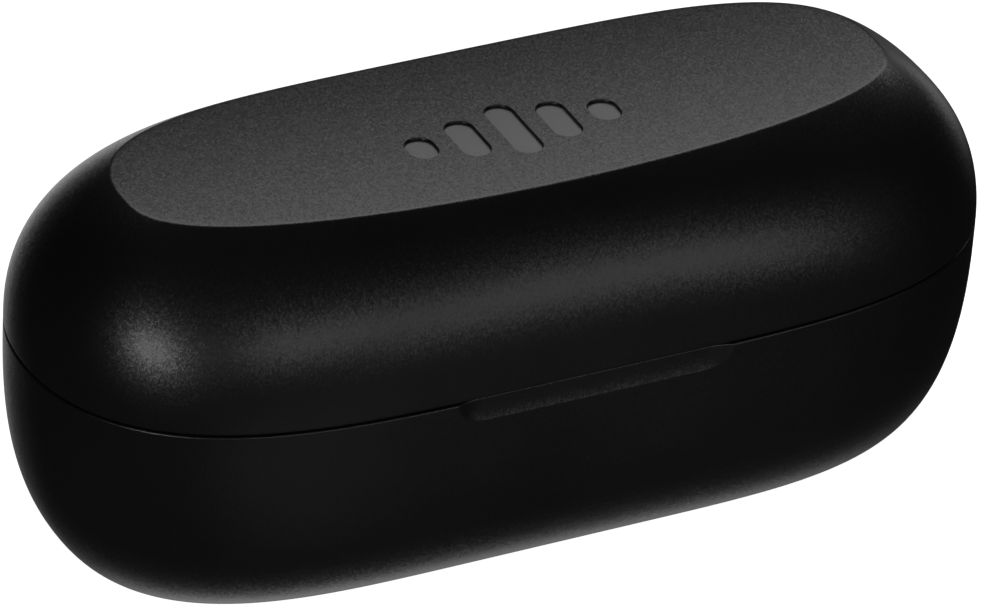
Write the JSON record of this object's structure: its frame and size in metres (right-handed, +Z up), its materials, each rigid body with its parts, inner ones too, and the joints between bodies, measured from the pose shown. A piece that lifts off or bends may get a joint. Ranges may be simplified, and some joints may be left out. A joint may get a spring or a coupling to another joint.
{
  "type": "wireless earbuds charging case",
  "caption": "Pill-shaped charging case with a hinged lid, a flat oval top facet, a thumb notch, two open earbud pockets and sprung charging contacts.",
  "frame": {"origin": "middle of the flat underside", "axes": "+X along the case's length, thumb notch faces -Y, hinge line along X on the +Y side, +Z up"},
  "size_m": [0.08, 0.0346, 0.0333],
  "materials": {
    "case_black": "fine satin grain, polycarbonate blend",
    "cradle_black": "fine matt, moulded",
    "steel": "plain stainless steel",
    "gold_plate": "gold-plated brass, polished",
    "magnet_nickel": "nickel-plated magnet",
    "board_green": "green solder mask over glass epoxy",
    "flex_amber": "amber polyimide film",
    "chip_black": "moulded epoxy",
    "ferrite_grey": "pressed ferrite",
    "led_white": "diffuse white lens",
    "pipe_clear": "frosted clear acrylic",
    "cell_foil": "laminated aluminium pouch",
    "foam_black": "soft closed-cell foam",
    "wire_red": "silicone insulation",
    "wire_black": "silicone insulation"
  },
  "bodies": {
    "base": {"base_magnet_left": "magnet_nickel", "base_magnet_right": "magnet_nickel", "base_shell": "case_black", "battery_board": "board_green", "battery_cell": "cell_foil", "battery_foam": "foam_black", "battery_lead_negative": "wire_black", "battery_lead_positive": "wire_red", "board_screw_1": "steel", "board_screw_2": "steel", "board_screw_3": "steel", "board_screw_4": "steel", "boost_chip": "chip_black", "charge_chip": "chip_black", "contact_barrel_left_inner": "gold_plate", "contact_barrel_left_outer": "gold_plate", "contact_barrel_right_inner": "gold_plate", "contact_barrel_right_outer": "gold_plate", "contact_board_left": "board_green", "contact_board_right": "board_green", "contact_ribbon_left": "flex_amber", "contact_ribbon_right": "flex_amber", "contact_spring_left_inner": "steel", "contact_spring_left_outer": "steel", "contact_spring_right_inner": "steel", "contact_spring_right_outer": "steel", "control_chip": "chip_black", "cradle": "cradle_black", "hinge_pin": "steel", "lid_sensor": "chip_black", "light_pipe": "pipe_clear", "main_board": "board_green", "pocket_magnet_left": "magnet_nickel", "pocket_magnet_right": "magnet_nickel", "port_sleeve": "steel", "port_tongue": "chip_black", "power_inductor": "ferrite_grey", "status_led_left": "led_white", "status_led_right": "led_white"},
    "lid": {"lid_shell": "case_black", "lid_liner": "cradle_black", "lid_magnet_left": "magnet_nickel", "lid_magnet_right": "magnet_nickel"},
    "contact_plunger_left_inner": {"contact_plunger_left_inner": "gold_plate"},
    "contact_plunger_left_outer": {"contact_plunger_left_outer": "gold_plate"},
    "contact_plunger_right_inner": {"contact_plunger_right_inner": "gold_plate"},
    "contact_plunger_right_outer": {"contact_plunger_right_outer": "gold_plate"}
  },
  "joints": [
    {"name": "lid_hinge", "type": "hinge", "parent": "base", "child": "lid", "pos_m": [0, 0.0162, 0.02015], "axis": [-1, 0, 0], "range_deg": [0, 95]},
    {"name": "press_left_inner", "type": "slide", "parent": "base", "child": "contact_plunger_left_inner", "axis": [0, 0, -1], "range_m": [0, 0.0008], "stiffness_N_per_m": 300, "springref_m": -0.0008, "deforming": ["contact_spring_left_inner"]},
    {"name": "press_left_outer", "type": "slide", "parent": "base", "child": "contact_plunger_left_outer", "axis": [0, 0, -1], "range_m": [0, 0.0008], "stiffness_N_per_m": 300, "springref_m": -0.0008, "deforming": ["contact_spring_left_outer"]},
    {"name": "press_right_inner", "type": "slide", "parent": "base", "child": "contact_plunger_right_inner", "axis": [0, 0, -1], "range_m": [0, 0.0008], "stiffness_N_per_m": 300, "springref_m": -0.0008, "deforming": ["contact_spring_right_inner"]},
    {"name": "press_right_outer", "type": "slide", "parent": "base", "child": "contact_plunger_right_outer", "axis": [0, 0, -1], "range_m": [0, 0.0008], "stiffness_N_per_m": 300, "springref_m": -0.0008, "deforming": ["contact_spring_right_outer"]}
  ]
}
